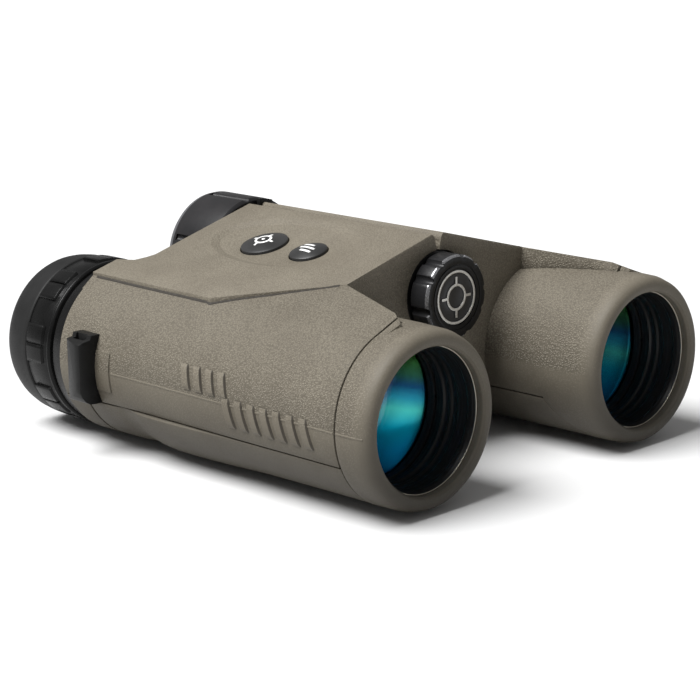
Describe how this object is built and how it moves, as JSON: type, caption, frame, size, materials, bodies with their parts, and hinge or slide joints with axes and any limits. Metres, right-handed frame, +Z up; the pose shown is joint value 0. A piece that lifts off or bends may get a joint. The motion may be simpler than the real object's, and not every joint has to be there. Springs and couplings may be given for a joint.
{
  "type": "laser rangefinder binocular",
  "caption": "Rangefinding binocular: two armoured barrels on a central folding hinge with a front battery cap, rear focus wheel and top buttons.",
  "frame": {"origin": "middle of the footprint, on the surface the barrels rest on", "axes": "+Y from the objectives to the eyepieces, +X from the right barrel to the left barrel, +Z up"},
  "size_m": [0.1286, 0.1328, 0.0559],
  "materials": {
    "armour": "fine stippled moulded armour, olive tan",
    "black_plastic": "satin moulded",
    "black_metal": "black anodised, satin",
    "gloss_black": "semi-gloss",
    "alloy": "dark cast alloy",
    "brass": "machined",
    "silver": "satin bright edges",
    "rubber": "smooth soft rubber",
    "button_rubber": "semi-gloss with printed icons",
    "friction_disc": "slippery polymer",
    "cell_wrap": "plain wrap",
    "board": "solder mask",
    "module": "satin",
    "coated_glass": "multi-coated",
    "glass": "polished"
  },
  "bodies": {
    "right_half": {"right_main_armour": "armour", "right_side_grip": "armour", "right_belly_pad": "armour", "right_deck": "armour", "right_chassis": "alloy", "hinge_tube": "black_metal", "hinge_washers": "friction_disc", "battery": "cell_wrap", "battery_contact": "brass", "shaft_bush": "brass", "button_switches": "black_plastic", "circuit_board": "board", "display_panel": "module", "right_objective_sleeve": "black_metal", "right_retaining_ring": "black_metal", "right_objective_lens": "coated_glass", "right_objective_cell": "black_metal", "right_prism_cage": "black_metal", "right_front_prism": "glass", "right_rear_prism": "glass", "right_field_lens": "glass", "right_eyepiece_housing": "gloss_black", "right_eye_lens": "glass", "right_strap_lug": "black_plastic"},
    "left_half": {"left_main_armour": "armour", "left_side_grip": "armour", "left_belly_pad": "armour", "left_deck": "armour", "left_wheel_cowl": "black_plastic", "left_chassis": "alloy", "laser_emitter": "module", "laser_receiver": "module", "left_objective_sleeve": "black_metal", "left_retaining_ring": "black_metal", "left_objective_lens": "coated_glass", "left_objective_cell": "black_metal", "left_prism_cage": "black_metal", "left_front_prism": "glass", "left_rear_prism": "glass", "left_field_lens": "glass", "left_eyepiece_housing": "gloss_black", "left_eye_lens": "glass", "left_strap_lug": "black_plastic"},
    "battery_cap": {"battery_cap": "black_metal", "cap_badge": "silver", "cap_seal": "rubber"},
    "focus_wheel": {"focus_wheel": "black_metal", "focus_shaft": "alloy", "wheel_cap": "black_plastic"},
    "focus_nut": {"focus_nut": "brass"},
    "right_focus_cell": {"right_focus_cell": "black_metal", "right_focus_lens": "glass"},
    "left_focus_cell": {"left_focus_cell": "black_metal", "left_focus_lens": "glass"},
    "range_button": {"range_button": "button_rubber"},
    "mode_button": {"mode_button": "button_rubber"},
    "right_diopter_ring": {"right_diopter_ring": "gloss_black"},
    "left_diopter_ring": {"left_diopter_ring": "gloss_black"},
    "right_eyecup": {"right_eyecup": "rubber"},
    "left_eyecup": {"left_eyecup": "rubber"}
  },
  "joints": [
    {"name": "centre_fold", "type": "hinge", "parent": "right_half", "child": "left_half", "pos_m": [0, 0, 0.04], "axis": [0, 1, 0], "range_deg": [0, 45]},
    {"name": "battery_cap_turn", "type": "hinge", "parent": "right_half", "child": "battery_cap", "pos_m": [0, -0.03545, 0.04], "axis": [0, 1, 0], "range_deg": [0, 90]},
    {"name": "focus_wheel_turn", "type": "hinge", "parent": "right_half", "child": "focus_wheel", "pos_m": [0, 0.04355, 0.04], "axis": [0, 1, 0], "range_deg": [-180, 180]},
    {"name": "focus_nut_slide", "type": "slide", "parent": "right_half", "child": "focus_nut", "axis": [0, 1, 0], "range_m": [-0.003, 0.003]},
    {"name": "right_focus_slide", "type": "slide", "parent": "right_half", "child": "right_focus_cell", "axis": [0, 1, 0], "range_m": [-0.003, 0.003]},
    {"name": "left_focus_slide", "type": "slide", "parent": "left_half", "child": "left_focus_cell", "axis": [0, 1, 0], "range_m": [-0.003, 0.003]},
    {"name": "range_button_press", "type": "slide", "parent": "right_half", "child": "range_button", "axis": [-0.2622, 0, 0.965], "range_m": [-0.0006, 0], "stiffness_N_per_m": 600},
    {"name": "mode_button_press", "type": "slide", "parent": "right_half", "child": "mode_button", "axis": [-0.2622, 0, 0.965], "range_m": [-0.0006, 0], "stiffness_N_per_m": 600},
    {"name": "right_diopter_turn", "type": "hinge", "parent": "right_half", "child": "right_diopter_ring", "pos_m": [-0.0379, 0.05155, 0.022], "axis": [0, 1, 0], "range_deg": [-45, 45]},
    {"name": "left_diopter_turn", "type": "hinge", "parent": "left_half", "child": "left_diopter_ring", "pos_m": [0.0379, 0.05155, 0.022], "axis": [0, 1, 0], "range_deg": [-45, 45]},
    {"name": "right_eyecup_extend", "type": "slide", "parent": "right_half", "child": "right_eyecup", "axis": [0, 1, 0], "range_m": [0, 0.008]},
    {"name": "left_eyecup_extend", "type": "slide", "parent": "left_half", "child": "left_eyecup", "axis": [0, 1, 0], "range_m": [0, 0.008]}
  ],
  "couplings": [
    {"joint": "focus_nut_slide", "follows": "focus_wheel_turn", "m_per_rad": 0.00095493},
    {"joint": "right_focus_slide", "follows": "focus_wheel_turn", "m_per_rad": 0.00095493},
    {"joint": "left_focus_slide", "follows": "focus_wheel_turn", "m_per_rad": 0.00095493}
  ]
}
